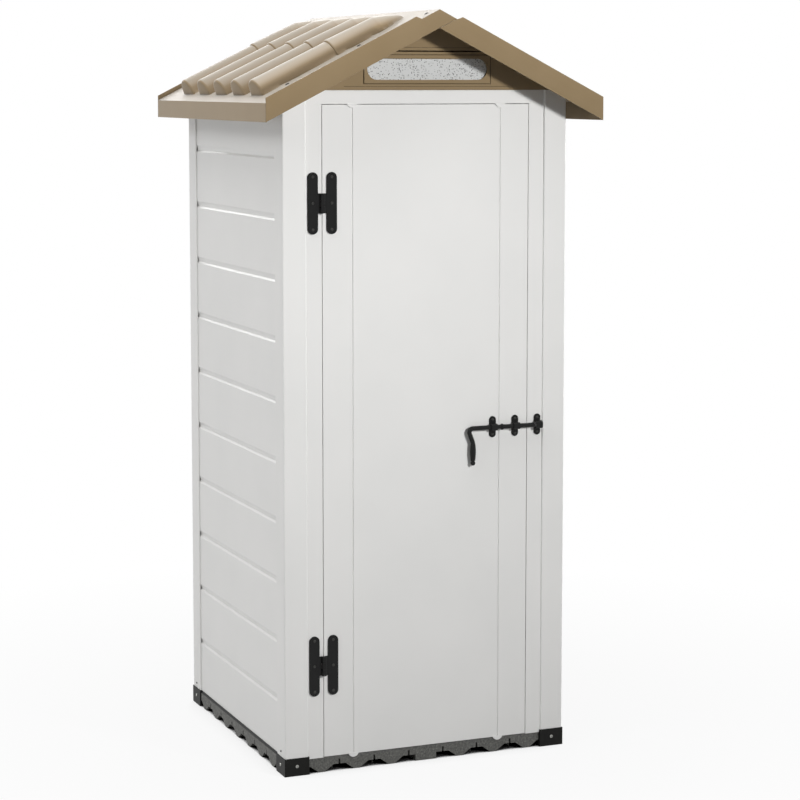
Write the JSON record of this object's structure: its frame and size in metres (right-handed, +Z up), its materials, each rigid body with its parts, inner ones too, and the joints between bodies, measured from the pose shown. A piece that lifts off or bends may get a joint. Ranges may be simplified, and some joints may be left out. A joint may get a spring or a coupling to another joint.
{
  "type": "garden shed",
  "caption": "Small upright plastic garden shed with tongue-and-groove walls, a hinged door with a sliding bolt, and a tile-effect gable roof on a moulded floor.",
  "frame": {"origin": "centre of the footprint of the whole object on the ground", "axes": "+Z up, -Y the door side, +X to the right when facing the door"},
  "size_m": [0.952, 0.965, 2.0119],
  "materials": {
    "white_plastic": "satin white extruded plastic",
    "tan_plastic": "tan moulded plastic, finely grained",
    "grey_base": "dark grey recycled plastic, speckled",
    "black_plastic": "black moulded plastic",
    "black_metal": "black powder coat",
    "bright_screw": "bright zinc",
    "dark_screw": "dark brown",
    "pebbled_pane": "pale translucent, pebbled"
  },
  "bodies": {
    "shed": {"bolt_keeper": "black_metal", "bracket_front_left": "black_plastic", "bracket_front_right": "black_plastic", "bracket_rear_left": "black_plastic", "bracket_rear_right": "black_plastic", "bracket_screws": "bright_screw", "floor_tile_left": "grey_base", "floor_tile_right": "grey_base", "front_gable": "tan_plastic", "front_window_pane": "pebbled_pane", "hinge_frame_screws": "black_metal", "keeper_screws": "black_metal", "left_board_01": "white_plastic", "left_board_02": "white_plastic", "left_board_03": "white_plastic", "left_board_04": "white_plastic", "left_board_05": "white_plastic", "left_board_06": "white_plastic", "left_board_07": "white_plastic", "left_board_08": "white_plastic", "left_board_09": "white_plastic", "left_board_10": "white_plastic", "left_board_11": "white_plastic", "left_jamb": "white_plastic", "left_top_rail": "white_plastic", "lintel": "white_plastic", "lower_hinge_frame_leaf": "black_metal", "lower_hinge_pin": "black_metal", "post_front_left": "white_plastic", "post_front_right": "white_plastic", "post_rear_left": "white_plastic", "post_rear_right": "white_plastic", "post_screws": "dark_screw", "rear_base_rail": "black_plastic", "rear_gable": "tan_plastic", "rear_top_rail": "white_plastic", "rear_wall_boards": "white_plastic", "rear_window_pane": "pebbled_pane", "right_jamb": "white_plastic", "right_top_rail": "white_plastic", "right_wall_boards": "white_plastic", "roof_panel_left": "tan_plastic", "roof_panel_right": "tan_plastic", "roof_screws": "dark_screw", "side_base_rails": "black_plastic", "upper_hinge_frame_leaf": "black_metal", "upper_hinge_pin": "black_metal"},
    "door": {"bolt_staple_inner": "black_metal", "bolt_staple_outer": "black_metal", "door_centre_panel": "white_plastic", "door_left_joiner": "white_plastic", "door_left_panel": "white_plastic", "door_right_joiner": "white_plastic", "door_right_panel": "white_plastic", "hinge_door_screws": "black_metal", "lower_hinge_door_leaf": "black_metal", "staple_screws": "black_metal", "upper_hinge_door_leaf": "black_metal"},
    "bolt_slide": {"bolt_stop_ring": "black_metal"},
    "bolt": {"bolt_rod": "black_metal"}
  },
  "joints": [
    {"name": "door_hinge", "type": "hinge", "parent": "shed", "child": "door", "pos_m": [-0.295, -0.40475, 0.9], "axis": [0, 0, -1], "range_deg": [0, 135]},
    {"name": "bolt_shoot", "type": "slide", "parent": "door", "child": "bolt_slide", "axis": [1, 0, 0], "range_m": [-0.012, 0.03]},
    {"name": "bolt_turn", "type": "hinge", "parent": "bolt_slide", "child": "bolt", "pos_m": [0.2165, -0.40775, 0.9], "axis": [-1, 0, 0], "range_deg": [0, 180]}
  ]
}
